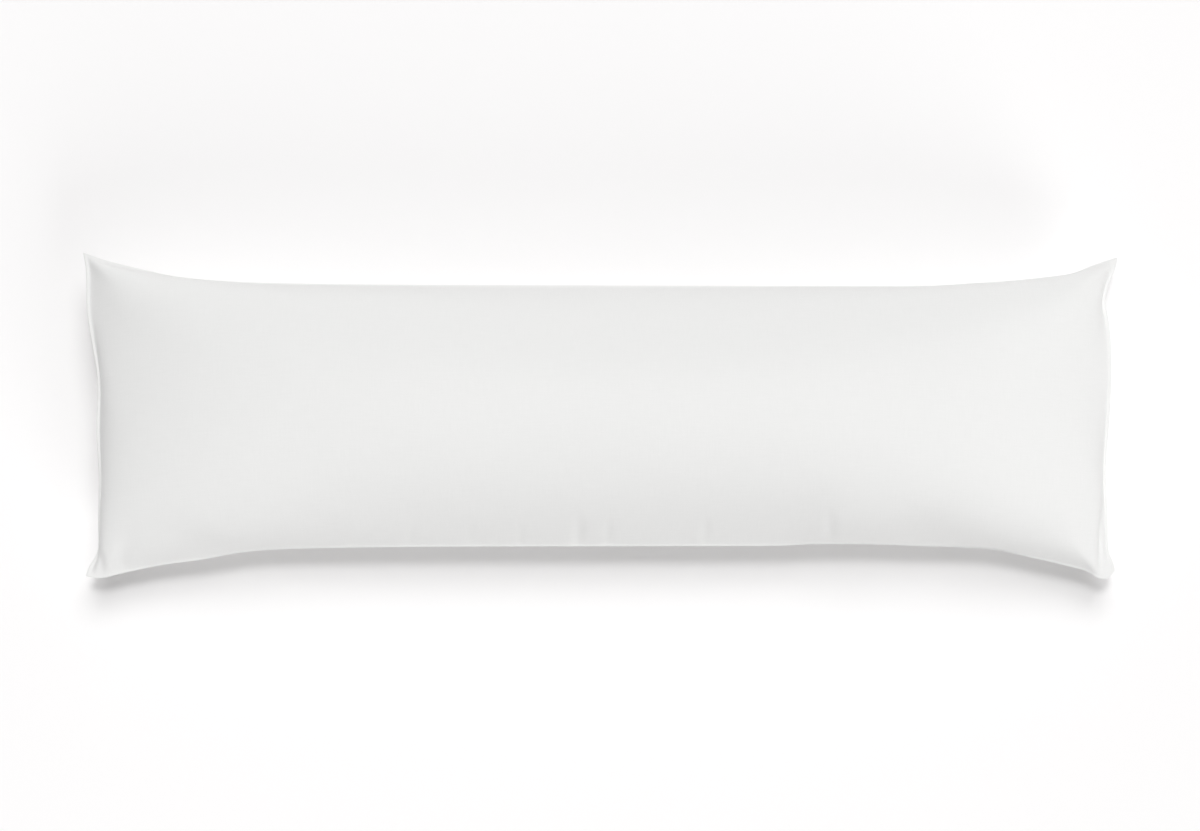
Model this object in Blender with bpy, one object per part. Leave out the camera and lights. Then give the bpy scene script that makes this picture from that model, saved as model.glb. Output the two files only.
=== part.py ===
"""A body pillow lying on its back: a plain cover, two long panels sewn together all round, filled to a soft crown.

Metres, +Z up. The pillow's length runs along X and its back long side faces +Y.
The origin is on the surface that it lies on, under the middle of its bounding box.
"""

import math
from collections import namedtuple

import bmesh
import bpy
from mathutils import Vector

# Driving sizes
CROWN_HEIGHT = 0.126  # the upper panel's rise above the seams, at mid length
CROWN_FULLNESS = 2.2  # how full the crown's arch is along the pillow: 2 is an ellipse, more is boxier
UPPER_STEEPNESS = math.radians(64)  # how steeply the upper panel leaves the long seams
LOWER_STEEPNESS = math.radians(80)  # the same for the lower one, which the surface below pushes out
LOWER_END_STEEPNESS = math.radians(30)  # how steeply it leaves the end seams
REST_LENGTH = 1.20  # the patch on which the lower panel lies flat, from corner to corner
REST_WIDTH = 0.236
REST_WAIST = 0.020  # how much narrower the patch is half way along
END_BOW_REACH = 0.30  # distance over which the bow of the end seams fades into the panels
END_LIP = 0.007  # width of the flat stitched edge at both ends
SIDE_LIP = 0.003  # the same along the two long sides
LIP_THICKNESS = 0.0022  # two layers of cloth with their turned-in edges
CREASE_ONSET = 0.10  # share of the full swell at which a crease reaches half its depth

# The mesh's fineness, and how much closer together its lines stand near the seams, from 0 to 1
COLUMNS = 112
ROWS = 24
COLUMN_CROWDING = 0.40
ROW_CROWDING = 0.50
REST_COLUMN = 15  # the column and the row of the lower panel at which the patch begins
REST_ROW = 7

CLOTH_COLOR = (0.85, 0.86, 0.85, 1.0)  # linear
CLOTH_ROUGHNESS = 0.85
CLOTH_SHEEN = 0.2

SeamPoint = namedtuple("SeamPoint", "x y height")
Crease = namedtuple("Crease", "x y toward_x toward_y width depth")

# The four ears, where the sides and the ends meet
EAR_BACK_LEFT = SeamPoint(-0.735, 0.2385, 0.066)
EAR_BACK_RIGHT = SeamPoint(0.734, 0.2305, 0.069)
EAR_FRONT_LEFT = SeamPoint(-0.723, -0.2255, 0.063)
EAR_FRONT_RIGHT = SeamPoint(0.723, -0.2180, 0.064)
LENGTH = EAR_BACK_RIGHT.x - EAR_BACK_LEFT.x
EAR_WIDTH = EAR_BACK_LEFT.y - EAR_FRONT_LEFT.y

# The cover's outer edge between the ears, as it lies: drawn in along the sides, uneven at the ends
BACK_SIDE = (
    SeamPoint(-0.704, 0.2270, 0.069),
    SeamPoint(-0.658, 0.2145, 0.073),
    SeamPoint(-0.591, 0.1995, 0.079),
    SeamPoint(-0.481, 0.1910, 0.084),
    SeamPoint(-0.282, 0.1870, 0.089),
    SeamPoint(0.000, 0.1860, 0.088),
    SeamPoint(0.282, 0.1850, 0.090),
    SeamPoint(0.495, 0.1865, 0.085),
    SeamPoint(0.580, 0.1915, 0.081),
    SeamPoint(0.623, 0.1985, 0.078),
    SeamPoint(0.671, 0.2070, 0.074),
    SeamPoint(0.693, 0.2165, 0.072),
    SeamPoint(0.715, 0.2245, 0.070),
)
FRONT_SIDE = (
    SeamPoint(-0.702, -0.2290, 0.064),
    SeamPoint(-0.674, -0.2225, 0.066),
    SeamPoint(-0.617, -0.2115, 0.072),
    SeamPoint(-0.561, -0.2045, 0.077),
    SeamPoint(-0.505, -0.1950, 0.081),
    SeamPoint(-0.445, -0.1905, 0.084),
    SeamPoint(-0.280, -0.1880, 0.088),
    SeamPoint(0.000, -0.1870, 0.089),
    SeamPoint(0.252, -0.1860, 0.087),
    SeamPoint(0.297, -0.1840, 0.088),
    SeamPoint(0.376, -0.1840, 0.087),
    SeamPoint(0.435, -0.1855, 0.084),
    SeamPoint(0.547, -0.1900, 0.080),
    SeamPoint(0.606, -0.2015, 0.076),
    SeamPoint(0.654, -0.2120, 0.071),
    SeamPoint(0.686, -0.2205, 0.068),
    SeamPoint(0.699, -0.2290, 0.065),
    SeamPoint(0.711, -0.2305, 0.064),
)
LEFT_END = (
    SeamPoint(-0.718, -0.2105, 0.064),
    SeamPoint(-0.707, -0.1940, 0.066),
    SeamPoint(-0.706, -0.1465, 0.072),
    SeamPoint(-0.706, -0.0830, 0.076),
    SeamPoint(-0.710, -0.0195, 0.078),
    SeamPoint(-0.710, 0.0520, 0.077),
    SeamPoint(-0.718, 0.0995, 0.075),
    SeamPoint(-0.727, 0.1510, 0.072),
    SeamPoint(-0.730, 0.2135, 0.068),
)
RIGHT_END = (
    SeamPoint(0.721, -0.2065, 0.065),
    SeamPoint(0.714, -0.1915, 0.068),
    SeamPoint(0.713, -0.1395, 0.072),
    SeamPoint(0.711, -0.0760, 0.076),
    SeamPoint(0.717, -0.0065, 0.078),
    SeamPoint(0.722, 0.0750, 0.077),
    SeamPoint(0.720, 0.1340, 0.074),
    SeamPoint(0.715, 0.1645, 0.072),
    SeamPoint(0.721, 0.1915, 0.071),
    SeamPoint(0.731, 0.2150, 0.069),
)

# Soft troughs in both panels, each from a point on a seam inwards
CREASES = (
    # where the front seam gathers the cloth
    Crease(-0.266, -0.186, -0.264, -0.148, 0.014, 0.0020),
    Crease(-0.182, -0.186, -0.181, -0.148, 0.014, 0.0022),
    Crease(-0.112, -0.185, -0.111, -0.148, 0.014, 0.0022),
    Crease(-0.031, -0.185, -0.028, -0.118, 0.018, 0.0050),
    Crease(0.014, -0.185, 0.016, -0.148, 0.013, 0.0030),
    Crease(0.148, -0.185, 0.147, -0.143, 0.015, 0.0030),
    Crease(0.323, -0.182, 0.318, -0.113, 0.022, 0.0055),
    # folds that run in from the ears and the ends
    Crease(-0.700, 0.224, -0.597, 0.155, 0.014, 0.0040),
    Crease(-0.706, -0.196, -0.622, -0.162, 0.014, 0.0040),
    Crease(0.714, 0.161, 0.621, 0.130, 0.015, 0.0040),
    Crease(0.685, -0.223, 0.607, -0.167, 0.014, 0.0040),
    Crease(-0.710, 0.017, -0.649, 0.015, 0.014, 0.0030),
    Crease(0.712, -0.059, 0.648, -0.054, 0.016, 0.0030),
)


def clear_scene():
    for old in list(bpy.data.objects):
        bpy.data.objects.remove(old, do_unlink=True)


def curve_through(start, between, end):
    """A smooth curve through seam points, as a function of the share of its length, from 0 to 1."""
    knots = [Vector(point) for point in (start, *between, end)]
    along = [0.0]
    for before, after in zip(knots, knots[1:]):
        along.append(along[-1] + (after - before).length)

    def slope(knot):
        before, after = max(knot - 1, 0), min(knot + 1, len(knots) - 1)
        return (knots[after] - knots[before]) / (along[after] - along[before])

    def point_at(share):
        distance = share * along[-1]
        knot = max(k for k in range(len(knots) - 1) if k == 0 or along[k] <= distance)
        step = along[knot + 1] - along[knot]
        t = (distance - along[knot]) / step
        return (
            knots[knot] * (1 + 2 * t) * (1 - t) ** 2
            + slope(knot) * step * t * (1 - t) ** 2
            + knots[knot + 1] * t**2 * (3 - 2 * t)
            + slope(knot + 1) * step * t**2 * (t - 1)
        )

    return point_at


back_side = curve_through(EAR_BACK_LEFT, BACK_SIDE, EAR_BACK_RIGHT)
front_side = curve_through(EAR_FRONT_LEFT, FRONT_SIDE, EAR_FRONT_RIGHT)
left_end = curve_through(EAR_FRONT_LEFT, LEFT_END, EAR_BACK_LEFT)
right_end = curve_through(EAR_FRONT_RIGHT, RIGHT_END, EAR_BACK_RIGHT)


def arc_rise(share, steepness):
    """How high an arc stands, from 0 at its foot to 1 where it levels out, that share of the way in."""
    chord = (1 - min(max(share, 0.0), 1.0)) * math.sin(steepness)
    foot = math.cos(steepness)
    return (math.sqrt(1 - chord**2) - foot) / (1 - foot)


def crown_arch(share):
    """How high the crown stands along the pillow, from 0 at an end to 1 half way."""
    short_of_middle = 1 - min(max(share, 0.0), 1.0)
    return (1 - short_of_middle**CROWN_FULLNESS) ** (1 / CROWN_FULLNESS)


def both_ways(lengthways, crossways):
    """The swell where both the ends and the sides hold the cloth down."""
    held = lengthways + crossways - lengthways * crossways
    return lengthways * crossways / held if held else 0.0


def between_seams(along, across, from_end):
    """The point of a level sheet stretched between the seams. Both shares run from 0 to 1."""
    sheet = front_side(along).lerp(back_side(along), across)
    end = left_end(across).lerp(right_end(across), along)
    front_ears = Vector(EAR_FRONT_LEFT).lerp(Vector(EAR_FRONT_RIGHT), along)
    back_ears = Vector(EAR_BACK_LEFT).lerp(Vector(EAR_BACK_RIGHT), along)
    end_bow = end - front_ears.lerp(back_ears, across)
    return sheet + end_bow * (1 - arc_rise(from_end / END_BOW_REACH, UPPER_STEEPNESS))


def crease_depth(place, swell):
    """How far the creases press a panel in at a place. They fade out where the panels meet."""
    depth = 0.0
    for crease in CREASES:
        start = Vector((crease.x, crease.y))
        run = Vector((crease.toward_x, crease.toward_y)) - start
        offset = place.xy - start
        share = min(max(offset.dot(run) / run.length_squared, 0.0), 1.0)
        sideways = offset.cross(run) / run.length / crease.width
        depth += crease.depth * 4 * share * (1 - share) * math.exp(-(sideways**2))
    return depth * swell / (swell + CREASE_ONSET)


def crowded(line, lines, crowding, lip_share):
    """Where a row or column of the mesh lies, from 0 to 1. The first and the last cell are the lip."""
    if line <= 1:
        return line * lip_share
    if line >= lines - 1:
        return 1 - (lines - line) * lip_share
    inner = (line - 1) / (lines - 2)
    graded = inner - crowding * math.sin(2 * math.pi * inner) / (2 * math.pi)
    return lip_share + (1 - 2 * lip_share) * graded


def column_share(column):
    return crowded(column, COLUMNS, COLUMN_CROWDING, END_LIP / LENGTH)


def row_share(row):
    return crowded(row, ROWS, ROW_CROWDING, SIDE_LIP / EAR_WIDTH)


def inside_lip(share, span, lip):
    """How far inside the lip a line of the mesh lies, by its share of the way across the cover."""
    return max(min(share, 1 - share) * span - lip, 0.0)


def resting_place(along, across):
    """Where a point of the lower panel would lie if it reached the surface."""
    lengthways = (along - 0.5) / (0.5 - column_share(REST_COLUMN))
    crossways = (across - 0.5) / (0.5 - row_share(REST_ROW))
    half_width = REST_WIDTH / 2 - REST_WAIST / 2 * max(1 - lengthways**2, 0.0)
    return Vector((REST_LENGTH / 2 * lengthways, half_width * crossways, 0.0))


def cover_point(column, row, upper):
    """A point of the cover, by its column and row in the mesh, on the upper or the lower panel."""
    along = column_share(column)
    across = row_share(row)
    width = back_side(along).y - front_side(along).y
    from_end = inside_lip(along, LENGTH, END_LIP)
    from_side = inside_lip(across, width, SIDE_LIP)
    place = between_seams(along, across, from_end)
    if upper:
        lengthways = crown_arch(from_end / (LENGTH / 2 - END_LIP))
        crossways = arc_rise(from_side / (width / 2 - SIDE_LIP), UPPER_STEEPNESS)
        swell = both_ways(lengthways, crossways)
        place.z += LIP_THICKNESS / 2 + CROWN_HEIGHT * swell - crease_depth(place, swell)
        return place
    patch_from_end = inside_lip(column_share(REST_COLUMN), LENGTH, END_LIP)
    patch_from_side = inside_lip(row_share(REST_ROW), width, SIDE_LIP)
    lengthways = arc_rise(from_end / patch_from_end, LOWER_END_STEEPNESS)
    crossways = arc_rise(from_side / patch_from_side, LOWER_STEEPNESS)
    swell = both_ways(lengthways, crossways)
    place.z += crease_depth(place, swell) - LIP_THICKNESS / 2
    return place.lerp(resting_place(along, across), swell)


def add_panel(mesh, upper):
    """One panel of the cover, a grid laid over the seams' shape."""
    grid = bmesh.ops.create_grid(mesh, x_segments=COLUMNS, y_segments=ROWS, size=1)
    for vert in grid["verts"]:
        column = round((vert.co.x + 1) / 2 * COLUMNS)
        row = round((vert.co.y + 1) / 2 * ROWS)
        vert.co = cover_point(column, row, upper)


def centre_over_origin(mesh):
    """Moves the mesh so that the origin lies under the middle of its bounding box."""
    for axis in (0, 1):
        reach = [vert.co[axis] for vert in mesh.verts]
        middle = (min(reach) + max(reach)) / 2
        for vert in mesh.verts:
            vert.co[axis] -= middle


def cloth():
    """White cotton: matt, with the soft shine of fine weave."""
    material = bpy.data.materials.new("white_cotton")
    material.use_nodes = True
    shader = material.node_tree.nodes["Principled BSDF"]
    shader.inputs["Base Color"].default_value = CLOTH_COLOR
    shader.inputs["Roughness"].default_value = CLOTH_ROUGHNESS
    shader.inputs["Sheen Weight"].default_value = CLOTH_SHEEN
    return material


def build_pillow():
    """The filled cover: two panels, closed all round by the edge of the stitched lip."""
    mesh = bmesh.new()
    add_panel(mesh, upper=True)
    add_panel(mesh, upper=False)
    centre_over_origin(mesh)
    bmesh.ops.bridge_loops(mesh, edges=[edge for edge in mesh.edges if edge.is_boundary])
    bmesh.ops.recalc_face_normals(mesh, faces=mesh.faces)
    data = bpy.data.meshes.new("body_pillow")
    mesh.to_mesh(data)
    mesh.free()
    data.shade_smooth()
    data.materials.append(cloth())
    pillow = bpy.data.objects.new("body_pillow", data)
    bpy.context.scene.collection.objects.link(pillow)


clear_scene()
build_pillow()
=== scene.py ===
# %% [markdown]
# # A plain white body pillow
# The real thing is two long panels of white cotton, sewn together all round and filled with soft fibre.
# This script dresses the solid model of it: the cover is laid out as it is cut, filled by cloth simulation
# as fibre fills the real one, then stitched at its ends and given its woven finish. Lengths are metres.

import math

import bmesh
import bpy
import numpy as np
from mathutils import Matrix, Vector, noise


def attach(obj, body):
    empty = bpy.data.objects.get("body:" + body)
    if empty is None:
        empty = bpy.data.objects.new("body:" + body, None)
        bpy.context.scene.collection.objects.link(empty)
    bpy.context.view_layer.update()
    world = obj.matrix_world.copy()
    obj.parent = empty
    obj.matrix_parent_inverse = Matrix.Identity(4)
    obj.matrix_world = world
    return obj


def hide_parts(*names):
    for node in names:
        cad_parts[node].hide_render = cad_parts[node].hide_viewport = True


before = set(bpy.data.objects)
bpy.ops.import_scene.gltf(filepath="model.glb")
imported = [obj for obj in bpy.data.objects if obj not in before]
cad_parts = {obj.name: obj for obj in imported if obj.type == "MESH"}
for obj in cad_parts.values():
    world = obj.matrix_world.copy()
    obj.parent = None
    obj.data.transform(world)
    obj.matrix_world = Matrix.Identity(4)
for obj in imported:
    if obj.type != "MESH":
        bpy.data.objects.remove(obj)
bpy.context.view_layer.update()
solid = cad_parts["body_pillow"]

# %% [markdown]
# ## The camera
# The photograph looks down on the pillow's face from about 10 degrees off square, through a long lens: the
# far side is as long in it as the near one. So the camera stands at that angle, and as far off as the lens
# needs to take in 1.69 m at the height of the seams.

# %% Camera
LENS_MM = 150
SENSOR_MM = 36
CAMERA_ELEVATION = math.radians(80)
PHOTO_WIDTH = 1.69  # what the picture's width spans at the height of the seams
AIM = Vector((0.0, -0.004, 0.085))  # the picture's middle, at about the height of the seams


def add_camera():
    camera = bpy.data.objects.new("camera", bpy.data.cameras.new("camera"))
    camera.data.lens = LENS_MM
    camera.data.sensor_width = SENSOR_MM
    back = Vector((0, -math.cos(CAMERA_ELEVATION), math.sin(CAMERA_ELEVATION)))
    camera.location = AIM + back * PHOTO_WIDTH * LENS_MM / SENSOR_MM
    camera.rotation_euler = (-back).to_track_quat("-Z", "Y").to_euler()
    bpy.context.scene.collection.objects.link(camera)
    bpy.context.scene.camera = camera
    return camera


camera = add_camera()
print("camera", round((camera.location - AIM).length, 2), "m from the pillow")

# %% [markdown]
# ## Where the seams lie
# Filling draws a cover's long seams in and leaves its corners standing out as ears. The solid model holds
# that outline in the narrow upright rim of its edge. It could be typed in again here, but it is read off
# the solid instead, so the cloth can't drift away from it.

# %% Read the outline off the solid
UPRIGHT = 0.0002  # how far an upright edge may lean
RIM_HEIGHT = 0.003  # no rim edge is taller
STANDING = 0.5  # a face of the rim stands, so its normal's Z stays below this
EAR_PULL = 3  # how much more an ear counts for reaching out along X than along Y


def rim_of(node):
    """The middles of the rim's upright edges, in order round the solid."""
    shell = bmesh.new()
    shell.from_mesh(node.data)
    bmesh.ops.remove_doubles(shell, verts=shell.verts, dist=UPRIGHT / 10)
    middles = {}
    for edge in shell.edges:
        low, high = sorted(edge.verts, key=lambda vert: vert.co.z)
        if (high.co - low.co).xy.length < UPRIGHT and high.co.z - low.co.z < RIM_HEIGHT:
            middles[high] = (low.co + high.co) / 2

    def on_rim(edge):
        return min(abs(face.normal.z) for face in edge.link_faces) < STANDING

    def neighbours(vert):
        ends = [edge.other_vert(vert) for edge in vert.link_edges if on_rim(edge)]
        return [end for end in ends if end in middles]

    start = next(iter(middles))
    order = [start, neighbours(start)[0]]
    while order[-1] is not start:
        order.append(next(vert for vert in neighbours(order[-1]) if vert is not order[-2]))
    return [middles[vert] for vert in order[:-1]]


def split_at_ears(rim):
    """The four seams: front and back from left to right, left and right from front to back."""

    def ear(x_side, y_side):
        return max(rim, key=lambda point: x_side * EAR_PULL * point.x + y_side * point.y)

    start = rim.index(ear(-1, -1))
    ring = rim[start:] + rim[:start]
    if ring.index(ear(1, -1)) > ring.index(ear(-1, 1)):
        ring = ring[:1] + ring[:0:-1]
    front_right, back_right = ring.index(ear(1, -1)), ring.index(ear(1, 1))
    back_left = ring.index(ear(-1, 1))
    ring.append(ring[0])
    return {
        "front": ring[: front_right + 1],
        "right": ring[front_right : back_right + 1],
        "back": ring[back_right : back_left + 1][::-1],
        "left": ring[back_left:][::-1],
    }


seams = split_at_ears(rim_of(solid))
for name, points in seams.items():
    print(name, "seam:", len(points), "points from", tuple(round(c, 3) for c in points[0]))

# %% [markdown]
# The solid gives each seam as a row of points. A smooth curve through them, read at any share of its length,
# lets the cloth's mesh be finer than the solid's.

# %% Smooth curves along the seams
def along_seam(points, shares):
    """Points of a smooth curve through the given ones, at those shares of its length."""
    knots = np.array([list(point) for point in points])
    lengths = np.concatenate([[0], np.cumsum(np.linalg.norm(np.diff(knots, axis=0), axis=1))])
    slopes = np.gradient(knots, lengths, axis=0)
    places = np.asarray(shares) * lengths[-1]
    i = np.clip(np.searchsorted(lengths, places, side="right") - 1, 0, len(knots) - 2)
    step = (lengths[i + 1] - lengths[i])[:, None]
    t = (places - lengths[i])[:, None] / step
    return (
        knots[i] * (1 + 2 * t) * (1 - t) ** 2
        + slopes[i] * step * t * (1 - t) ** 2
        + knots[i + 1] * t**2 * (3 - 2 * t)
        + slopes[i + 1] * step * t**2 * (t - 1)
    )


print("the front seam's middle is at", along_seam(seams["front"], [0.5])[0].round(3))

# %% [markdown]
# ## The flat panels
# A maker cuts two panels of 1.50 x 0.48 m. Each is laid out here as a grid of small cells, fine enough for
# the cloth to gather at the seams. Its outermost lines hold the flat sewn edge: 7 mm wide at the ends, which
# are stitched through again after the cover is turned, and 3 mm along the sides, which aren't.

# %% Lay out the panels
CUT_LENGTH, CUT_WIDTH = 1.50, 0.48
CELL = 0.0086
END_LIP, SIDE_LIP = 0.007, 0.003
END_LIP_HALF = (0.0008, 0.0013, 0.0012, 0.0006)  # half the lip's thickness, from its edge to the stitches
SIDE_LIP_HALF = (0.0008, 0.0009)


def cut_lines(length, lip, lip_lines):
    """Where the panel's mesh has a line, measured from one cut edge to the other."""
    edge = np.linspace(0, lip, lip_lines + 1)
    inner = np.linspace(lip, length - lip, round((length - 2 * lip) / CELL) + 1)
    return np.concatenate([edge[:-1], inner, (length - edge[:-1])[::-1]])


across_lines = cut_lines(CUT_WIDTH, SIDE_LIP, len(SIDE_LIP_HALF) - 1)
along_lines = cut_lines(CUT_LENGTH, END_LIP, len(END_LIP_HALF) - 1)
columns, rows = len(along_lines), len(across_lines)
cut_x, cut_y = np.meshgrid(along_lines, across_lines, indexing="ij")
from_end = np.minimum(cut_x, CUT_LENGTH - cut_x)
from_side = np.minimum(cut_y, CUT_WIDTH - cut_y)
print("panels of", columns, "by", rows, "points")

# %% [markdown]
# ## Where the lip goes
# A level sheet stretched between the four seams says where each point of the lip lies once the cover is
# full. It is a Coons patch: the long seams blended across, plus the bow of the end seams, which fades out
# within 0.3 m of an end.

# %% Stretch a sheet between the seams
END_BOW_REACH = 0.30


def between_seams():
    """The points of a sheet between the seams, one for each point of a panel."""
    u = (cut_x / CUT_LENGTH)[..., None]
    v = (cut_y / CUT_WIDTH)[..., None]
    front = along_seam(seams["front"], along_lines / CUT_LENGTH)[:, None]
    back = along_seam(seams["back"], along_lines / CUT_LENGTH)[:, None]
    left = along_seam(seams["left"], across_lines / CUT_WIDTH)[None]
    right = along_seam(seams["right"], across_lines / CUT_WIDTH)[None]
    ears_front = left[:, :1] * (1 - u) + right[:, :1] * u
    ears_back = left[:, -1:] * (1 - u) + right[:, -1:] * u
    bow = left * (1 - u) + right * u - ears_front * (1 - v) - ears_back * v
    fade = np.clip(1 - from_end[..., None] / END_BOW_REACH, 0, 1) ** 2
    return front * (1 - v) + back * v + bow * fade


def lip_half_thickness():
    """Half the distance between the two panels, as the stitched lip holds them."""
    at_end = np.interp(from_end, np.linspace(0, END_LIP, len(END_LIP_HALF)), END_LIP_HALF)
    at_side = np.interp(from_side, np.linspace(0, SIDE_LIP, len(SIDE_LIP_HALF)), SIDE_LIP_HALF)
    return np.minimum(at_end, at_side)


sheet = between_seams()
half = lip_half_thickness()
print("sheet from", sheet.min((0, 1)).round(3), "to", sheet.max((0, 1)).round(3))

# %% [markdown]
# ## The cover's mesh
# The upper and the lower panel are the same grid, one facing up and one down. A narrow strip of faces closes
# the edge between them, so the cover is one closed form. Each point keeps its place on the cut cloth, as an
# attribute for the sewing to come and as a UV map for the weave, which then runs with the threads.

# %% Build the cover flat
FLAT_HEIGHT = 0.10  # the flat panels start this high above the surface
UV_SPAN = CUT_LENGTH  # metres of cloth to one unit of the UV map


def panel_faces(offset, facing_up):
    index = np.arange(columns * rows).reshape(columns, rows) + offset
    corners = [index[:-1, :-1], index[1:, :-1], index[1:, 1:], index[:-1, 1:]]
    faces = np.stack(corners, axis=-1).reshape(-1, 4)
    return faces if facing_up else faces[:, ::-1]


def edge_faces():
    index = np.arange(columns * rows).reshape(columns, rows)
    ring = np.concatenate([index[:-1, 0], index[-1, :-1], index[:0:-1, -1], index[0, :0:-1]])
    onward = np.roll(ring, -1)
    below = columns * rows
    return np.stack([ring + below, onward + below, onward, ring], axis=-1)


def build_cover():
    """Both panels lying flat, one over the other."""
    flat = np.stack([cut_x - CUT_LENGTH / 2, cut_y - CUT_WIDTH / 2, FLAT_HEIGHT + half], axis=-1)
    under = flat * (1, 1, -1) + (0, 0, 2 * FLAT_HEIGHT)
    points = np.stack([flat, under]).reshape(-1, 3)
    faces = np.concatenate([panel_faces(0, True), panel_faces(columns * rows, False), edge_faces()])
    mesh = bpy.data.meshes.new("pillow_cover")
    mesh.from_pydata(points.tolist(), [], faces.tolist())
    place = np.stack([np.stack([cut_x, cut_y, np.full_like(cut_x, panel)], axis=-1) for panel in (0, 1)])
    place = place.reshape(-1, 3)
    mesh.attributes.new("cut_place", "FLOAT_VECTOR", "POINT").data.foreach_set("vector", place.ravel())
    on_cloth = (place[:, :2] + place[:, 2:] * (0, CUT_WIDTH)) / UV_SPAN
    from_upper = faces.copy()
    from_upper[-len(edge_faces()) :] %= columns * rows  # the edge strip carries on the upper panel's threads
    uv_map = mesh.uv_layers.new(name="cut_cloth")
    uv_map.data.foreach_set("uv", on_cloth[from_upper.ravel()].ravel())
    mesh.shade_smooth()
    cover = bpy.data.objects.new("pillow_cover", mesh)
    bpy.context.scene.collection.objects.link(cover)
    return cover


cover = build_cover()
print("cover:", len(cover.data.polygons), "faces, flat")

# %% [markdown]
# ## Filling it
# Fibre pushes a cover out evenly from within, so pressure can stand in for it. Blender's cloth then finds
# the form that two flat panels take when they are filled: the crown, the sides drawn in and the gathers that
# run in from the seams. The lip is pinned, and a shape key moves it from the flat cut to the seams' own
# places while the pressure fills the cover. A level surface stops the cloth from below.

# %% Simulate the filling
DRAW_IN_FRAMES = 24
FRAMES = 50
PRESSURE = 24
STRETCH_STIFFNESS = 5
BEND_STIFFNESS = 3.0
POINT_MASS = 0.15
DAMPING, AIR_DAMPING = 10, 3
PIN_STIFFNESS = 50
QUALITY = 5  # how many steps each frame takes
CONTACT = 0.002  # the cloth and the surface each count as this thick where they meet
FRICTION = 5
REST_SURFACE = -0.003  # the cloth comes to rest 3 mm above it, which is the floor
REST_REACH = 1  # how far the surface reaches from its middle
ON_LINE = 0.0001  # a point that is nearer than this to a line of the cut is on it


def add_lying_key(cover):
    """A shape key in which the lip lies as the solid's does, keyed to take over while the cover fills."""
    lying = np.stack([sheet + half[..., None] * (0, 0, side) for side in (1, -1)])
    cover.shape_key_add(name="flat")
    key = cover.shape_key_add(name="lying")
    key.data.foreach_set("co", lying.ravel())
    for frame_number, value in ((1, 0), (1 + DRAW_IN_FRAMES, 1)):
        key.value = value
        key.keyframe_insert("value", frame=frame_number)


def pin_lip(cover):
    on_lip = (from_end < END_LIP + ON_LINE) | (from_side < SIDE_LIP + ON_LINE)
    pinned = np.flatnonzero(np.tile(on_lip.ravel(), 2))
    cover.vertex_groups.new(name="lip").add(pinned.tolist(), 1.0, "REPLACE")


def add_cloth(cover):
    cloth = cover.modifiers.new("filling", "CLOTH")
    settings = cloth.settings
    settings.quality = QUALITY
    settings.mass = POINT_MASS
    settings.effector_weights.gravity = 0
    settings.tension_stiffness = STRETCH_STIFFNESS
    settings.compression_stiffness = STRETCH_STIFFNESS
    settings.shear_stiffness = STRETCH_STIFFNESS / 2
    settings.bending_stiffness = BEND_STIFFNESS
    settings.tension_damping = settings.compression_damping = settings.shear_damping = DAMPING
    settings.air_damping = AIR_DAMPING
    settings.use_pressure = True
    settings.uniform_pressure_force = PRESSURE
    settings.vertex_group_mass = "lip"
    settings.pin_stiffness = PIN_STIFFNESS
    cloth.collision_settings.distance_min = CONTACT
    cloth.point_cache.frame_start = 1
    cloth.point_cache.frame_end = FRAMES


def level_square(name, reach, height):
    """A level surface that reaches equally far from the middle on all four sides."""
    mesh = bpy.data.meshes.new(name)
    corners = [(x * reach, y * reach, height) for x, y in ((-1, -1), (1, -1), (1, 1), (-1, 1))]
    mesh.from_pydata(corners, [], [(0, 1, 2, 3)])
    square = bpy.data.objects.new(name, mesh)
    bpy.context.scene.collection.objects.link(square)
    return square


def add_rest_surface():
    surface = level_square("rest_surface", REST_REACH, REST_SURFACE)
    surface.modifiers.new("stop", "COLLISION")
    surface.collision.thickness_outer = CONTACT
    surface.collision.cloth_friction = FRICTION
    return surface


def evaluated_mesh(thing):
    depsgraph = bpy.context.evaluated_depsgraph_get()
    return bpy.data.meshes.new_from_object(thing.evaluated_get(depsgraph), depsgraph=depsgraph)


def fill(cover):
    """Runs the simulation and keeps its result as the cover's plain mesh."""
    add_lying_key(cover)
    pin_lip(cover)
    add_cloth(cover)
    surface = add_rest_surface()
    scene = bpy.context.scene
    scene.frame_start, scene.frame_end = 1, FRAMES
    for frame_number in range(1, FRAMES + 1):
        scene.frame_set(frame_number)
    filled = evaluated_mesh(cover)
    cover.modifiers.clear()
    cover.shape_key_clear()
    cover.vertex_groups.clear()
    cover.data = filled
    bpy.data.objects.remove(surface)
    scene.frame_set(1)


fill(cover)
heights = [vert.co.z for vert in cover.data.vertices]
print("filled: from", round(min(heights), 4), "to", round(max(heights), 4))

# %% [markdown]
# ## Smoothing the upper panel
# The simulation gathers the cloth wherever a seam is shorter than the cut edge. Crisp percale under even
# filling takes up such small differences without a fold, and the real pillow's face is smooth. So the upper
# panel is averaged along its length, which takes the long seams' gathers out and leaves its cross section as
# it is. Beside the end seams, whose gathers run the other way, it is averaged across. The ears keep theirs.

# %% Even out the upper panel
EVENING = 0.022  # the standard deviation of the averaging
# Each pair is the distance where a weight sets in and where it is full
ALONG_FROM_END, ALONG_FROM_SIDE = (0.03, 0.12), (SIDE_LIP, 0.016)
ACROSS_FROM_END, ACROSS_FROM_SIDE = (END_LIP, 0.020), (0.02, 0.07)
ACROSS_FADES = (0.10, 0.20)  # it ends this far from the end


def read_points(items, name):
    """The coordinates, normals or vectors that a mesh's items hold, as an array of three columns."""
    values = np.empty(len(items) * 3, dtype=np.float32)
    items.foreach_get(name, values)
    return values.reshape(-1, 3).astype(float)


def eased(value, span):
    """0 before the span, 1 after it, and a smooth step between."""
    t = np.clip((value - span[0]) / (span[1] - span[0]), 0, 1)
    return t * t * (3 - 2 * t)


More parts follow.
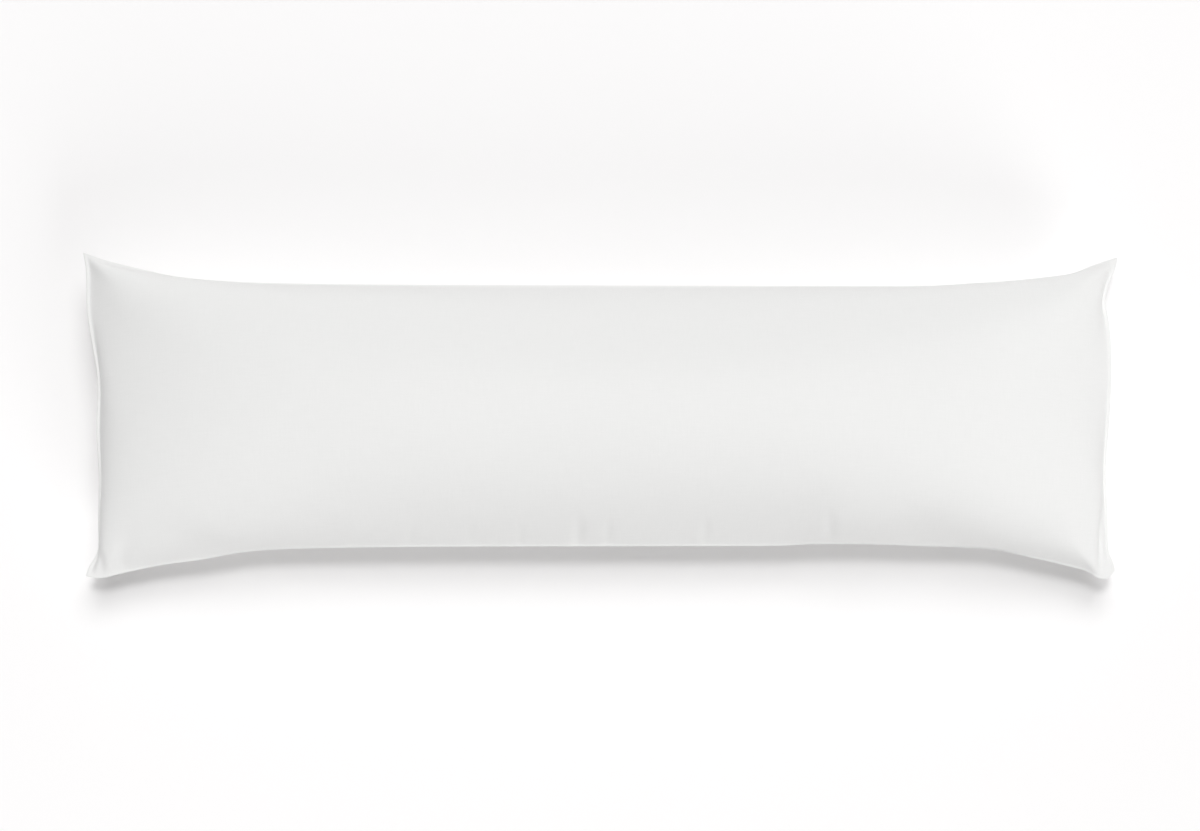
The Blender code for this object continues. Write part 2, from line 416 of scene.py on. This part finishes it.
def averaged(panel, axis):
    """Each point of a panel averaged with its neighbours along one axis of the grid."""
    reach = round(3 * EVENING / CELL)  # three standard deviations take in all that counts
    shares = np.exp(-((np.arange(-reach, reach + 1) * CELL / EVENING) ** 2) / 2)
    shares /= shares.sum()
    beyond = [(reach, reach) if i == axis else (0, 0) for i in range(3)]
    longer = np.pad(panel, beyond, mode="reflect", reflect_type="odd")
    places = np.arange(panel.shape[axis])
    return sum(share * longer.take(places + i, axis=axis) for i, share in enumerate(shares))


def even_out(cover):
    panels = read_points(cover.data.vertices, "co").reshape(2, columns, rows, 3)
    before = panels[0].copy()
    along = eased(from_end, ALONG_FROM_END) * eased(from_side, ALONG_FROM_SIDE)
    across = eased(from_end, ACROSS_FROM_END) * eased(from_side, ACROSS_FROM_SIDE)
    across *= 1 - eased(from_end, ACROSS_FADES)
    for axis, weight in ((0, along), (1, across)):
        panels[0] += (averaged(panels[0], axis) - panels[0]) * weight[..., None]
    cover.data.vertices.foreach_set("co", panels.astype(np.float32).ravel())
    cover.data.update()
    return np.abs(panels[0] - before).max()


print("evened out by up to", round(even_out(cover) * 1000, 1), "mm")

# %% [markdown]
# ## A finer surface
# One subdivision rounds the simulated mesh, so that neither its outline nor its gathers show their cells.

# %% Subdivide
def subdivide(cover):
    smooth = cover.modifiers.new("smooth", "SUBSURF")
    smooth.levels = smooth.render_levels = 1
    finer = evaluated_mesh(cover)
    cover.modifiers.clear()
    cover.data = finer


subdivide(cover)
print("cover:", len(cover.data.polygons) * 2, "triangles")

# %% [markdown]
# ## Uneven filling and the front seam's gathers
# Fibre never lies quite evenly, so the panels swell and sink by about a millimetre. The front seam
# was sewn a little tight in seven places, and each pulls a short trough into the cloth beside it. Both are
# small and soft, and moving the points along their normals is enough for them.

# %% Move the surface
LUMP_SIZE = 0.13
LUMP_HEIGHT = 0.0011
LUMP_FADE = 0.06  # the lumps fade out within this distance of a seam
LUMP_OFFSET = Vector((3.7, 1.9, 8.3))  # which part of the endless noise is used
LOWEST = 0.0003  # the cloth comes no nearer to the floor
RIDGE = 0.6  # how strongly the cloth rises on both sides of a trough

# Each trough starts on the front seam at x and runs inwards by reach, leaning sideways by lean.
# It is deepest a third of the way in, at about 0.6 of depth.
GATHER_COLUMNS = ("x", "reach", "lean", "width", "depth")
GATHERS = (
    (-0.266, 0.036, 0.002, 0.007, 0.0014),
    (-0.182, 0.036, 0.001, 0.007, 0.0016),
    (-0.112, 0.036, 0.001, 0.007, 0.0018),
    (-0.031, 0.046, 0.003, 0.010, 0.0044),
    (0.010, 0.038, 0.002, 0.008, 0.0030),
    (0.148, 0.040, -0.001, 0.008, 0.0026),
    (0.323, 0.046, -0.004, 0.010, 0.0036),
)


def lumps(place):
    """How far uneven filling lifts each point of the cloth."""
    height = np.array([noise.noise(Vector(point) / LUMP_SIZE + LUMP_OFFSET) for point in place])
    near_end = np.minimum(place[:, 0], CUT_LENGTH - place[:, 0])
    near_side = np.minimum(place[:, 1], CUT_WIDTH - place[:, 1])
    return LUMP_HEIGHT * height * np.clip(np.minimum(near_end, near_side) / LUMP_FADE, 0, 1)


def front_gathers(points):
    """How deep the front seam's gathers pull each point in."""
    front = np.array([list(point) for point in seams["front"]])
    depth = np.zeros(len(points))
    for row in GATHERS:
        gather = dict(zip(GATHER_COLUMNS, row))
        seam_y = np.interp(gather["x"], front[:, 0], front[:, 1])
        inwards = (points[:, 1] - seam_y) / gather["reach"]
        sideways = (points[:, 0] - gather["x"] - gather["lean"] * inwards) / gather["width"]
        length_shape = np.where((inwards > 0) & (inwards < 1), 4 * inwards * (1 - inwards) ** 2, 0)
        depth += gather["depth"] * length_shape * (1 - RIDGE * sideways**2) * np.exp(-(sideways**2))
    return depth


def relief(cover):
    mesh = cover.data
    points = read_points(mesh.vertices, "co")
    normals = read_points(mesh.vertices, "normal")
    place = read_points(mesh.attributes["cut_place"].data, "vector")
    moved = points + normals * (lumps(place) - front_gathers(points))[:, None]
    moved[:, 2] = np.maximum(moved[:, 2], LOWEST)
    mesh.vertices.foreach_set("co", moved.astype(np.float32).ravel())
    mesh.update()
    return np.abs(moved - points).max()


print("surface moved by up to", round(relief(cover) * 1000, 2), "mm")

# %% [markdown]
# ## The stitches at the ends
# After turning, the maker sews once more through all layers at both ends, 7 mm in, which gives the flat
# edge. The row shows on both panels. Each stitch is a short length of thread that sinks in at both ends.
# They repeat along a path, so Geometry Nodes set them out: the path is cut into equal steps, and a stitch
# is put on each, turned along the path and laid on the cloth.

# %% Paths for the stitches
STITCH_MARGIN = 0.006  # the rows start this far from the long seams


def stitch_paths(cover):
    """The four rows' paths, as lines of points with the cloth's normal at each."""
    mesh = cover.data
    points = read_points(mesh.vertices, "co")
    normals = read_points(mesh.vertices, "normal")
    place = read_points(mesh.attributes["cut_place"].data, "vector")
    path_points, path_normals, steps = [], [], []
    for panel in (0, 1):
        for line in (END_LIP, CUT_LENGTH - END_LIP):
            on_row = (abs(place[:, 0] - line) < ON_LINE) & (place[:, 2] == panel)
            on_row &= (place[:, 1] > STITCH_MARGIN) & (place[:, 1] < CUT_WIDTH - STITCH_MARGIN)
            row = np.flatnonzero(on_row)
            row = row[np.argsort(place[row, 1])]
            first = len(path_points)
            path_points.extend(points[row])
            path_normals.extend(normals[row])
            steps.extend((first + i, first + i + 1) for i in range(len(row) - 1))
    lines = bpy.data.meshes.new("end_stitches")
    lines.from_pydata([tuple(point) for point in path_points], steps, [])
    facing = lines.attributes.new("facing", "FLOAT_VECTOR", "POINT")
    facing.data.foreach_set("vector", np.array(path_normals, dtype=np.float32).ravel())
    stitches = bpy.data.objects.new("end_stitches", lines)
    bpy.context.scene.collection.objects.link(stitches)
    return stitches


stitches = stitch_paths(cover)
print("stitch paths:", len(stitches.data.vertices), "points")

# %% [markdown]
# A material's or a node tree's nodes are all added by one small function. It sets a node's own settings and
# gives its inputs, by name or number, a plain value, another node's output, or a node, whose first output
# is meant.

# %% One function that adds a node
def add_node(tree, kind, inputs=None, **settings):
    """A new node with its settings and its inputs' values or links."""
    made = tree.nodes.new(kind)
    for name, value in settings.items():
        setattr(made, name, value)
    for name, value in (inputs or {}).items():
        if isinstance(value, bpy.types.Node):
            value = value.outputs[0]
        if isinstance(value, bpy.types.NodeSocket):
            tree.links.new(value, made.inputs[name])
        else:
            made.inputs[name].default_value = value
    return made


# %% The stitch tree
STITCH_LENGTH = 0.0026
STITCH_GAP = 0.0008
THREAD = 0.0005  # how thick the thread is
STITCH_SINK = 0.0004  # how far a stitch's ends go down into the cloth
STITCH_SIDES = 6
STITCH_POINTS = 5
STITCH_SWAY = math.radians(3)  # how far a stitch may turn away from its row
STITCH_SEED = 7
CENTIMETRE = 0.01
STITCH_INPUTS = (
    ("Stitch length", STITCH_LENGTH),
    ("Gap", STITCH_GAP),
    ("Thread", THREAD),
    ("Sink", STITCH_SINK),
)


def one_stitch(tree, given):
    """A short bowed length of thread along X, its middle proud and its ends sunk."""
    half_length = add_node(tree, "ShaderNodeMath", {0: given["Stitch length"], 1: 0.5}, operation="MULTIPLY")
    far = add_node(tree, "ShaderNodeCombineXYZ", {"X": half_length})
    near = add_node(tree, "ShaderNodeVectorMath", {0: far, "Scale": -1.0}, operation="SCALE")
    line = add_node(tree, "GeometryNodeCurvePrimitiveLine", {"Start": near, "End": far})
    line = add_node(tree, "GeometryNodeResampleCurve", {"Curve": line, "Count": STITCH_POINTS})
    place = add_node(tree, "ShaderNodeSeparateXYZ", {0: add_node(tree, "GeometryNodeInputPosition")})
    share = add_node(tree, "ShaderNodeMath", {0: place, 1: half_length}, operation="DIVIDE")
    square = add_node(tree, "ShaderNodeMath", {0: share, 1: share}, operation="MULTIPLY")
    drop = add_node(tree, "ShaderNodeMath", {0: square, 1: given["Sink"]}, operation="MULTIPLY")
    down = add_node(tree, "ShaderNodeMath", {0: drop, 1: -1.0}, operation="MULTIPLY")
    offset = add_node(tree, "ShaderNodeCombineXYZ", {"Z": down})
    bowed = add_node(tree, "GeometryNodeSetPosition", {"Geometry": line, "Offset": offset})
    radius = add_node(tree, "ShaderNodeMath", {0: given["Thread"], 1: 0.5}, operation="MULTIPLY")
    section = {"Resolution": STITCH_SIDES, "Radius": radius}
    section = add_node(tree, "GeometryNodeCurvePrimitiveCircle", section)
    thread_run = {"Curve": bowed, "Profile Curve": section, "Fill Caps": True}
    return add_node(tree, "GeometryNodeCurveToMesh", thread_run)


def stitch_tree(material):
    tree = bpy.data.node_groups.new("row_of_stitches", "GeometryNodeTree")
    tree.interface.new_socket("Geometry", in_out="INPUT", socket_type="NodeSocketGeometry")
    tree.interface.new_socket("Geometry", in_out="OUTPUT", socket_type="NodeSocketGeometry")
    for name, _ in STITCH_INPUTS:
        tree.interface.new_socket(name, in_out="INPUT", socket_type="NodeSocketFloat")
    given = add_node(tree, "NodeGroupInput").outputs
    pitch = add_node(tree, "ShaderNodeMath", {0: given["Stitch length"], 1: given["Gap"]}, operation="ADD")
    path = add_node(tree, "GeometryNodeMeshToCurve", {"Mesh": given["Geometry"]})
    path = add_node(tree, "GeometryNodeResampleCurve", {"Curve": path, "Length": pitch}, mode="LENGTH")
    tangent = add_node(tree, "GeometryNodeInputTangent")
    facing = add_node(tree, "GeometryNodeInputNamedAttribute", {"Name": "facing"}, data_type="FLOAT_VECTOR")
    along = add_node(tree, "FunctionNodeAlignRotationToVector", {"Vector": tangent}, axis="X")
    turned = {"Rotation": along, "Vector": facing}
    lying = add_node(tree, "FunctionNodeAlignRotationToVector", turned, axis="Z", pivot_axis="X")
    sway = add_node(tree, "FunctionNodeRandomValue", {2: -STITCH_SWAY, 3: STITCH_SWAY, "Seed": STITCH_SEED})
    turn = add_node(tree, "FunctionNodeAxisAngleToRotation", {"Axis": (0, 0, 1), "Angle": sway.outputs[1]})
    swayed = {"Rotation": lying, "Rotate By": turn}
    lying = add_node(tree, "FunctionNodeRotateRotation", swayed, rotation_space="LOCAL")
    on_path = {"Points": path, "Instance": one_stitch(tree, given), "Rotation": lying}
    row = add_node(tree, "GeometryNodeInstanceOnPoints", on_path)
    row = add_node(tree, "GeometryNodeRealizeInstances", {"Geometry": row})
    row = add_node(tree, "GeometryNodeSetShadeSmooth", {"Geometry": row})
    row = add_node(tree, "GeometryNodeSetMaterial", {"Geometry": row, "Material": material})
    add_node(tree, "NodeGroupOutput", {"Geometry": row})
    return tree


print(round(CENTIMETRE / (STITCH_LENGTH + STITCH_GAP), 1), "stitches to a centimetre")

# %% [markdown]
# ## Colours
# Colours are given as sRGB hex values, as a colour picker shows them. Blender's shaders want linear values.

# %% From hex to linear
def linear(hex_colour):
    """Linear RGBA from an sRGB hex colour."""
    values = [int(hex_colour[i : i + 2], 16) / 255 for i in (1, 3, 5)]
    return (*[v / 12.92 if v <= 0.04045 else ((v + 0.055) / 1.055) ** 2.4 for v in values], 1.0)


print("middle grey, #808080, in linear values:", round(linear("#808080")[0], 3))

# %% [markdown]
# ## The sewing thread
# Spun polyester, the usual thread for bedding: white, and a little shinier than the cotton around it, so
# the row catches the light. Its two plies are twisted about once in 0.8 mm.

# %% Thread material
THREAD_COLOUR = "#EEF0EF"
PLY_PITCH = 0.0008
PLY_DEPTH = 0.0001
WAVE_NODE_BANDS = 20 / math.pi / 2  # how many bands the wave texture has to a metre at a scale of 1


def thread_material():
    material = bpy.data.materials.new("spun_polyester_thread")
    material.use_nodes = True
    tree = material.node_tree
    shader = tree.nodes["Principled BSDF"]
    shader.inputs["Base Color"].default_value = linear(THREAD_COLOUR)
    shader.inputs["Roughness"].default_value = 0.5
    shader.inputs["Sheen Weight"].default_value = 0.1
    place = add_node(tree, "ShaderNodeTexCoord")
    twist = {"Vector": place.outputs["Object"], "Scale": 1 / PLY_PITCH / WAVE_NODE_BANDS, "Distortion": 0.5}
    plies = add_node(tree, "ShaderNodeTexWave", twist, bands_direction="DIAGONAL")
    twisted = {"Height": plies.outputs["Fac"], "Distance": PLY_DEPTH, "Strength": 0.4}
    twisted = add_node(tree, "ShaderNodeBump", twisted)
    tree.links.new(twisted.outputs[0], shader.inputs["Normal"])
    return material


thread = thread_material()
print("thread:", len(thread.node_tree.nodes), "nodes")

# %% [markdown]
# Now the tree goes on the paths as a modifier, its inputs are set, and its result becomes a plain mesh.

# %% Sew the rows
def sew(stitches, material):
    modifier = stitches.modifiers.new("stitches", "NODES")
    modifier.node_group = stitch_tree(material)
    sizes = dict(STITCH_INPUTS)
    for item in modifier.node_group.interface.items_tree:
        if item.in_out == "INPUT" and item.name in sizes:
            modifier[item.identifier] = sizes[item.name]
    sewn = evaluated_mesh(stitches)
    stitches.modifiers.clear()
    stitches.data = sewn
    stitches.data.name = "end_stitches"


sew(stitches, thread)
print("stitches:", len(stitches.data.polygons), "faces")

# %% [markdown]
# ## The cotton
# Percale is a plain weave: every thread goes over one and under the next. Up close that gives the matt,
# faintly grainy look of a good pillowcase, and from a step away a soft white that darkens evenly into the
# folds. The threads run along and across the cut panels, so they are drawn from the UV map, in real sizes.
# A real thread is about 0.35 mm wide. It is drawn at 0.8 mm, coarse enough for a close view to show.
#
# Each thread rises and falls in a wave along its length, one thread's wave opposite to the next one's, and is
# round across its width. The higher of the two threads at each place is the one that shows.

# %% Weave height
THREAD_PITCH = 0.0008
THREAD_RISE = 0.7  # how far a thread rises and falls, for one unit of its own thickness
THREAD_ROUNDNESS = 0.5  # a thread's section is a cosine raised to this power


def weave_height(tree, metres):
    """Plain weave, from about 0 between the threads to 1 on a crown, at a place on the cloth in metres."""
    turns = {0: metres, "Scale": math.pi / THREAD_PITCH}
    turns = add_node(tree, "ShaderNodeVectorMath", turns, operation="SCALE")
    waves = add_node(tree, "ShaderNodeVectorMath", {0: turns}, operation="COSINE")
    sizes = add_node(tree, "ShaderNodeVectorMath", {0: waves}, operation="ABSOLUTE")
    powers = (THREAD_ROUNDNESS, THREAD_ROUNDNESS, 1)
    across = add_node(tree, "ShaderNodeVectorMath", {0: sizes, 1: powers}, operation="POWER")
    across = add_node(tree, "ShaderNodeSeparateXYZ", {0: across})
    across = add_node(tree, "ShaderNodeCombineXYZ", {"X": across.outputs["Y"], "Y": across.outputs["X"]})
    signs = add_node(tree, "ShaderNodeVectorMath", {0: waves}, operation="SIGN")
    signs = add_node(tree, "ShaderNodeSeparateXYZ", {0: signs})
    signs = add_node(tree, "ShaderNodeCombineXYZ", {"X": signs.outputs["Y"], "Y": signs.outputs["X"]})
    rise = add_node(tree, "ShaderNodeVectorMath", {0: waves, 1: signs}, operation="MULTIPLY")
    rise = {0: rise, 1: (THREAD_RISE, -THREAD_RISE, 0), 2: across}
    heights = add_node(tree, "ShaderNodeVectorMath", rise, operation="MULTIPLY_ADD")
    heights = add_node(tree, "ShaderNodeSeparateXYZ", {0: heights})
    higher = {0: heights, 1: heights.outputs["Y"]}
    higher = add_node(tree, "ShaderNodeMath", higher, operation="MAXIMUM")
    return add_node(tree, "ShaderNodeMath", {0: higher, 1: 1 / (1 + THREAD_RISE)}, operation="MULTIPLY")


print(CENTIMETRE / THREAD_PITCH, "threads to a centimetre")

# %% [markdown]
# Spun cotton is never even. Some threads are a little thicker over a few centimetres, which shows as short
# faint lines along and across the cloth. They come from two noises, each stretched along its threads. Nor
# does a thread lie quite straight: a third noise moves the whole weave about by a fraction of a thread.

# %% Uneven threads
SLUB_LENGTH = 0.030
SLUB_WIDTH = 0.0016
WANDER = 0.0005  # how far a thread wanders, from side to side
WANDER_LENGTH = 0.007


def slubs(tree, metres):
    """Uneven threads in both directions, as a value around 0.5."""
    ways = []
    lengthways = (1 / SLUB_LENGTH, 1 / SLUB_WIDTH, 0)
    crossways = (1 / SLUB_WIDTH, 1 / SLUB_LENGTH, 0)
    for stretch, layer in ((lengthways, 0.0), (crossways, 5.0)):  # each has its own slice of the noise
        place = {0: metres, 1: stretch, 2: (0, 0, layer)}
        place = add_node(tree, "ShaderNodeVectorMath", place, operation="MULTIPLY_ADD")
        ways.append(add_node(tree, "ShaderNodeTexNoise", {"Vector": place, "Scale": 1.0, "Detail": 1.0}))
    both = add_node(tree, "ShaderNodeMath", {0: ways[0], 1: ways[1]}, operation="ADD")
    return add_node(tree, "ShaderNodeMath", {0: both, 1: 0.5}, operation="MULTIPLY")


def wandering(tree, metres):
    """The place on the cloth, moved about as its threads wander."""
    drift = {"Vector": metres, "Scale": 1 / WANDER_LENGTH, "Detail": 1.0}
    drift = add_node(tree, "ShaderNodeTexNoise", drift)
    moved = {0: drift.outputs["Color"], 1: (WANDER, WANDER, 0), 2: metres}
    return add_node(tree, "ShaderNodeVectorMath", moved, operation="MULTIPLY_ADD")


print("a slub is about", round(SLUB_WIDTH / THREAD_PITCH), "threads wide")

# %% [markdown]
# A line of stitches pulls the cloth up a little, so fine puckers stand across every seam and fade out within
# 14 mm. The distance from a seam is the distance from the panel's cut edge, folded back and forth by the
# ping-pong function because the two panels lie side by side on the map.

# %% Seam puckers
PUCKER_WAVE = 0.011  # from one pucker to the next
PUCKER_STRETCH = 3  # how much longer than wide a pucker is
PUCKER_REACH = 0.014


def puckers(tree, metres):
    """Fine folds square to the seams, from 0 to 1."""
    place = add_node(tree, "ShaderNodeSeparateXYZ", {0: metres})
    along, across = place.outputs["X"], place.outputs["Y"]
    from_side = add_node(tree, "ShaderNodeMath", {0: across, 1: CUT_WIDTH / 2}, operation="PINGPONG")
    from_end = add_node(tree, "ShaderNodeMath", {0: along, 1: CUT_LENGTH / 2}, operation="PINGPONG")
    folds = []
    for run, distance, layer in ((along, from_side, 9.0), (across, from_end, 10.0)):
        place = add_node(tree, "ShaderNodeCombineXYZ", {"X": run, "Y": distance})
        stretch = (1 / PUCKER_WAVE, 1 / PUCKER_WAVE / PUCKER_STRETCH, 0)
        place = {0: place, 1: stretch, 2: (0, 0, layer)}
        place = add_node(tree, "ShaderNodeVectorMath", place, operation="MULTIPLY_ADD")
        wave = add_node(tree, "ShaderNodeTexNoise", {"Vector": place, "Scale": 1.0, "Detail": 0.0})
        reach = {"Value": distance, "From Min": 0.0, "From Max": PUCKER_REACH, "To Min": 1.0, "To Max": 0.0}
        near = add_node(tree, "ShaderNodeMapRange", reach, interpolation_type="SMOOTHSTEP")
        folds.append(add_node(tree, "ShaderNodeMath", {0: wave, 1: near}, operation="MULTIPLY"))
    return add_node(tree, "ShaderNodeMath", {0: folds[0], 1: folds[1]}, operation="MAXIMUM")


print("about", round(CUT_LENGTH / PUCKER_WAVE), "puckers along a long seam")

# %% [markdown]
# Handling leaves cloth faintly crumpled, so a soft noise a few centimetres wide moves the surface by a tenth
# or two of a millimetre. All these heights go through three bump nodes, each with its own height in metres.
# The colour is the plain white of bleached cotton, with painted shade that darkens it a touch in the gaps
# between threads.

# %% Cotton material
COTTON = "#F2F2F1"
# Painted shade: the gaps between threads get the next, darker colour, and the lift below it says how much of
# the threads' own colour they keep.
COTTON_PAINTED_GAP_SHADE = "#E9E9E8"
PAINTED_GAP_SHADE_LIFT = 0.3  # from 0, the gaps' colour, to 1, the threads' own
WEAVE_DEPTH = 0.00010
SLUB_DEPTH = 0.00006
PUCKER_DEPTH = 0.0006
CRUMPLE_DEPTH = 0.00035
CRUMPLE_SIZE = 0.028


def cotton_material():
    material = bpy.data.materials.new("white_cotton_percale")
    material.use_nodes = True
    tree = material.node_tree
    shader = tree.nodes["Principled BSDF"]
    shader.inputs["Roughness"].default_value = 0.85  # cotton's short fibres scatter light widely
    shader.inputs["Sheen Weight"].default_value = 0.12  # its fuzz lights up at a glancing angle
    shader.inputs["Sheen Roughness"].default_value = 0.4
    uv = add_node(tree, "ShaderNodeUVMap", uv_map="cut_cloth")
    metres = add_node(tree, "ShaderNodeVectorMath", {0: uv, "Scale": UV_SPAN}, operation="SCALE")
    weave = weave_height(tree, wandering(tree, metres))
    uneven = slubs(tree, metres)
    crumple = {"Vector": metres, "Scale": 1 / CRUMPLE_SIZE, "Detail": 2.0, "Roughness": 0.45}
    crumple = add_node(tree, "ShaderNodeTexNoise", crumple)
    threads = {0: uneven, 1: SLUB_DEPTH / WEAVE_DEPTH, 2: weave}
    threads = add_node(tree, "ShaderNodeMath", threads, operation="MULTIPLY_ADD")
    crumpled = add_node(tree, "ShaderNodeBump", {"Height": crumple, "Distance": CRUMPLE_DEPTH})
    pulled = {"Height": puckers(tree, metres), "Distance": PUCKER_DEPTH, "Normal": crumpled}
    pulled = add_node(tree, "ShaderNodeBump", pulled)
    woven = add_node(tree, "ShaderNodeBump", {"Height": threads, "Distance": WEAVE_DEPTH, "Normal": pulled})
    tree.links.new(woven.outputs[0], shader.inputs["Normal"])
    # Painted shade in the weave's gaps: the colour darkens where the weave is low, and the slubs vary it at
    # random.
    gap_shade_and_slubs = {0: weave, 1: uneven, 2: PAINTED_GAP_SHADE_LIFT}
    gap_shade_and_slubs = add_node(tree, "ShaderNodeMath", gap_shade_and_slubs, operation="MULTIPLY_ADD")
    shades = {"Factor": gap_shade_and_slubs, 6: linear(COTTON_PAINTED_GAP_SHADE), 7: linear(COTTON)}
    colour = add_node(tree, "ShaderNodeMix", shades, data_type="RGBA")
    tree.links.new(colour.outputs[2], shader.inputs["Base Color"])
    return material


cover.data.materials.clear()
cover.data.materials.append(cotton_material())
print("cotton:", len(cover.data.materials[0].node_tree.nodes), "nodes")

# %% [markdown]
# ## The studio
# The photograph is a plain product picture: white all round, with a soft shadow only along the pillow's near
# side. White paper under an even dome of light gives the first. A small lamp nearly overhead gives the
# shadow its narrow dark part and a softbox behind the pillow its wide pale part. A softbox in front lights
# the near side. It stands low, so that it shines along the paper and leaves the shadow dark, and a little to
# the right, where the pillow is brightest. All are sun lamps with wide discs, as their light is even over so
# small a set.

# %% Floor
PAPER = "#FCFBFB"
FLOOR_REACH = 8


def add_floor():
    floor = level_square("floor", FLOOR_REACH, 0)
    material = bpy.data.materials.new("white_paper_backdrop")
    material.use_nodes = True
    shader = material.node_tree.nodes["Principled BSDF"]
    shader.inputs["Base Color"].default_value = linear(PAPER)
    shader.inputs["Roughness"].default_value = 0.9
    shader.inputs["Specular IOR Level"].default_value = 0.1
    floor.data.materials.append(material)


add_floor()
print("floor:", 2 * FLOOR_REACH, "m square")

# %% Light
# Bearings are from +X. Brightness is that of white paper which faces the lamp and is lit by it alone.
LAMP_COLUMNS = ("name", "bearing", "elevation", "spread", "brightness")
LAMPS = (
    ("overhead_lamp", 90, 82, 12, 0.29),
    ("back_softbox", 78, 60, 35, 0.39),
    ("front_softbox", -62, 20, 25, 0.30),
)
DOME_BRIGHTNESS = 0.29


def add_lamp(lamp):
    bearing, elevation, spread = (math.radians(lamp[key]) for key in ("bearing", "elevation", "spread"))
    light = bpy.data.lights.new(lamp["name"], "SUN")
    light.energy = lamp["brightness"] * math.pi
    light.angle = spread
    hung = bpy.data.objects.new(lamp["name"], light)
    level = math.cos(elevation)
    toward = Vector((level * math.cos(bearing), level * math.sin(bearing), math.sin(elevation)))
    hung.rotation_euler = toward.to_track_quat("Z", "Y").to_euler()
    bpy.context.scene.collection.objects.link(hung)


def add_dome():
    world = bpy.data.worlds.new("studio")
    bpy.context.scene.world = world
    world.use_nodes = True
    background = world.node_tree.nodes["Background"]
    background.inputs["Color"].default_value = linear("#FFFFFF")
    background.inputs["Strength"].default_value = DOME_BRIGHTNESS


for row in LAMPS:
    add_lamp(dict(zip(LAMP_COLUMNS, row)))
add_dome()
bpy.context.scene.view_settings.view_transform = "Standard"
print("lights:", *(row[0] for row in LAMPS), "and a dome")

# %% [markdown]
# ## Handing over
# Each piece rides on the solid model's one body. The cover takes the place of the plain solid in the picture.
# The sizes of both are kept, so that they can be compared.

# %% Hand the pieces over
for piece in (cover, stitches):
    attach(piece, "root")
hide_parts("body_pillow")
